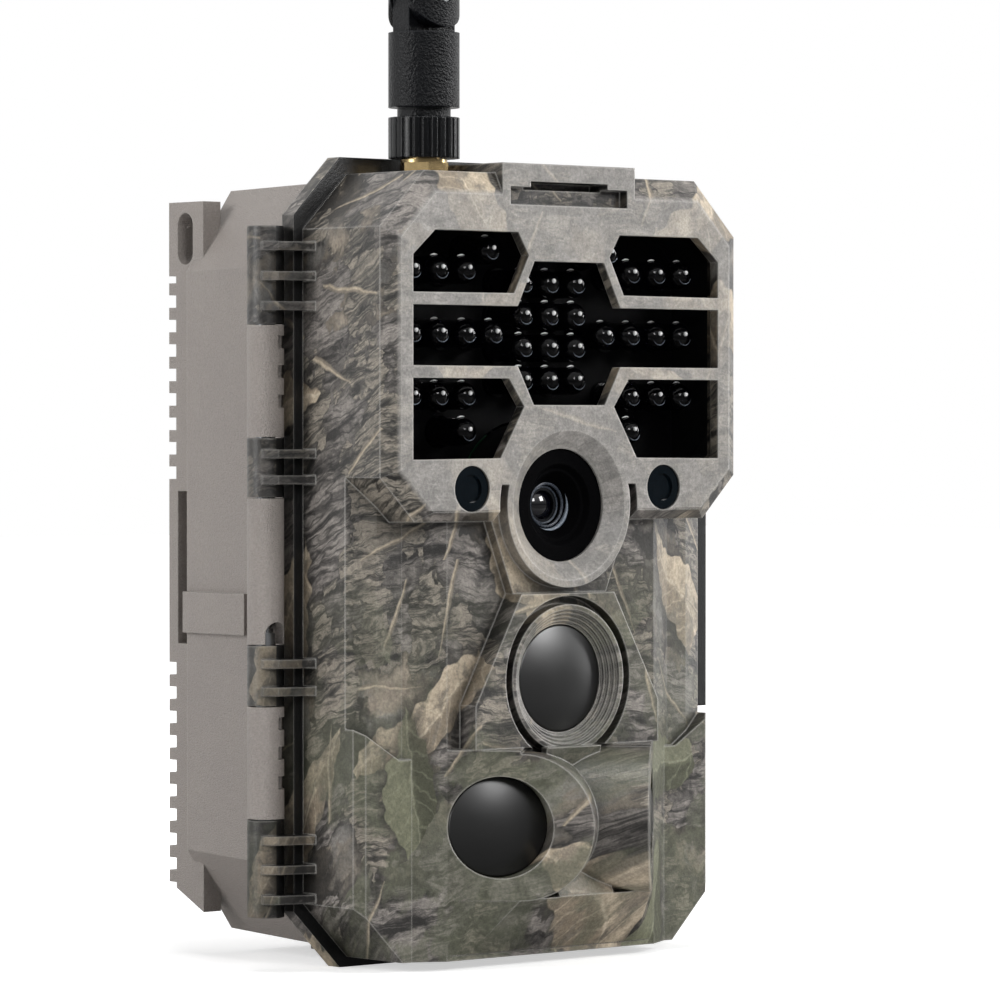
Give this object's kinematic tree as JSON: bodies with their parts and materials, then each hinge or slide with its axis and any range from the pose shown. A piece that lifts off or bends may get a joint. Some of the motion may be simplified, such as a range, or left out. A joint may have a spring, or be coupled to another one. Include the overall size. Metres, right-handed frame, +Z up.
{
  "type": "trail camera",
  "caption": "Camouflaged trail camera: hinged clamshell with infrared lamp block, lens, motion sensors, folding antenna, latch, strap ribs and tripod socket.",
  "frame": {"origin": "centre of the tripod socket's mouth, in the plane of the foot", "axes": "+Z up along the socket and the hinge pin, -Y out of the lens, +X to the viewer's right as seen from the front"},
  "size_m": [0.1021, 0.0798, 0.3399],
  "materials": {
    "case_plastic": "satin fine-textured taupe moulding",
    "camo_plastic": null,
    "black_plastic": "matt black moulding",
    "antenna_plastic": "fine-speckled black moulding",
    "gloss_black": "glossy black ribbed ring",
    "key_plastic": "light grey keys",
    "ir_window": "glossy infrared-pass filter",
    "led_epoxy": "smoked epoxy domes",
    "sensor_film": "smooth dark polyethylene lens",
    "sensor_window": "dark teal window",
    "display_glass": "dark display glass",
    "lens_glass": "coated lens glass",
    "circuit_board": "green solder mask",
    "chip_epoxy": "black epoxy",
    "cell_wrap": "printed sleeve over a steel can, plain colours",
    "seal_rubber": "soft black seal",
    "steel": "bright steel",
    "nickel": "nickel-plated steel",
    "black_metal": "black anodised barrel",
    "brass": "bright brass"
  },
  "bodies": {
    "root": {"rear_case": "case_plastic", "door_gasket": "seal_rubber", "hinge_pin_upper": "steel", "hinge_pin_lower": "steel", "hinge_pin_screw": "steel", "latch_pin": "steel", "tripod_insert": "brass", "battery_holder": "black_plastic", "battery_cells": "cell_wrap", "battery_contacts": "nickel", "battery_springs": "nickel"},
    "cover": {"front_cover": "camo_plastic", "ir_filter": "ir_window", "led_board": "circuit_board", "ir_leds": "led_epoxy", "lens_hood": "black_plastic", "lens_barrel": "black_metal", "lens_element": "lens_glass", "image_board": "circuit_board", "centre_pir_lens": "sensor_film", "left_pir_lens": "sensor_film", "right_pir_lens": "sensor_film", "pir_sensors": "nickel", "light_sensor_window": "sensor_window", "indicator_window": "sensor_window", "antenna_connector": "brass", "main_board": "circuit_board", "board_chips": "chip_epoxy", "board_screws": "steel", "control_panel": "black_plastic", "panel_screws": "steel", "display_module": "nickel", "display_glass": "display_glass", "speaker": "chip_epoxy", "key_switches": "nickel", "sd_socket": "nickel", "usb_socket": "nickel"},
    "latch": {"latch_lever": "case_plastic"},
    "antenna_base": {"antenna_collar": "gloss_black", "antenna_barrel": "antenna_plastic", "antenna_pin": "steel"},
    "antenna_arm": {"antenna_whip": "antenna_plastic"},
    "key_up": {"key_up": "key_plastic"},
    "key_down": {"key_down": "key_plastic"},
    "key_left": {"key_left": "key_plastic"},
    "key_right": {"key_right": "key_plastic"},
    "key_ok": {"key_ok": "key_plastic"},
    "power_switch": {"power_switch": "key_plastic"},
    "sd_card": {"sd_card": "chip_epoxy"}
  },
  "joints": [
    {"name": "cover_swing", "type": "hinge", "parent": "root", "child": "cover", "pos_m": [-0.0485, -0.0155, 0.071], "axis": [0, 0, -1], "range_deg": [0, 160]},
    {"name": "latch_swing", "type": "hinge", "parent": "root", "child": "latch", "pos_m": [0.0473, -0.0095, 0.07], "axis": [0, 0, 1], "range_deg": [0, 110]},
    {"name": "antenna_turn", "type": "hinge", "parent": "cover", "child": "antenna_base", "pos_m": [-0.0205, -0.026, 0.15], "axis": [0, 0, 1], "range_deg": [-180, 180]},
    {"name": "antenna_fold", "type": "hinge", "parent": "antenna_base", "child": "antenna_arm", "pos_m": [-0.0205, -0.026, 0.1742], "axis": [0, 1, 0], "range_deg": [0, 90]},
    {"name": "key_up_press", "type": "slide", "parent": "cover", "child": "key_up", "axis": [0, -1, 0], "range_m": [0, 0.0006], "stiffness_N_per_m": 300, "springref_m": -0.0005},
    {"name": "key_down_press", "type": "slide", "parent": "cover", "child": "key_down", "axis": [0, -1, 0], "range_m": [0, 0.0006], "stiffness_N_per_m": 300, "springref_m": -0.0005},
    {"name": "key_left_press", "type": "slide", "parent": "cover", "child": "key_left", "axis": [0, -1, 0], "range_m": [0, 0.0006], "stiffness_N_per_m": 300, "springref_m": -0.0005},
    {"name": "key_right_press", "type": "slide", "parent": "cover", "child": "key_right", "axis": [0, -1, 0], "range_m": [0, 0.0006], "stiffness_N_per_m": 300, "springref_m": -0.0005},
    {"name": "key_ok_press", "type": "slide", "parent": "cover", "child": "key_ok", "axis": [0, -1, 0], "range_m": [0, 0.0006], "stiffness_N_per_m": 300, "springref_m": -0.0005},
    {"name": "power_slide", "type": "slide", "parent": "cover", "child": "power_switch", "axis": [0, 0, 1], "range_m": [0, 0.005]},
    {"name": "card_slide", "type": "slide", "parent": "cover", "child": "sd_card", "axis": [0, 1, 0], "range_m": [0, 0.012]}
  ]
}
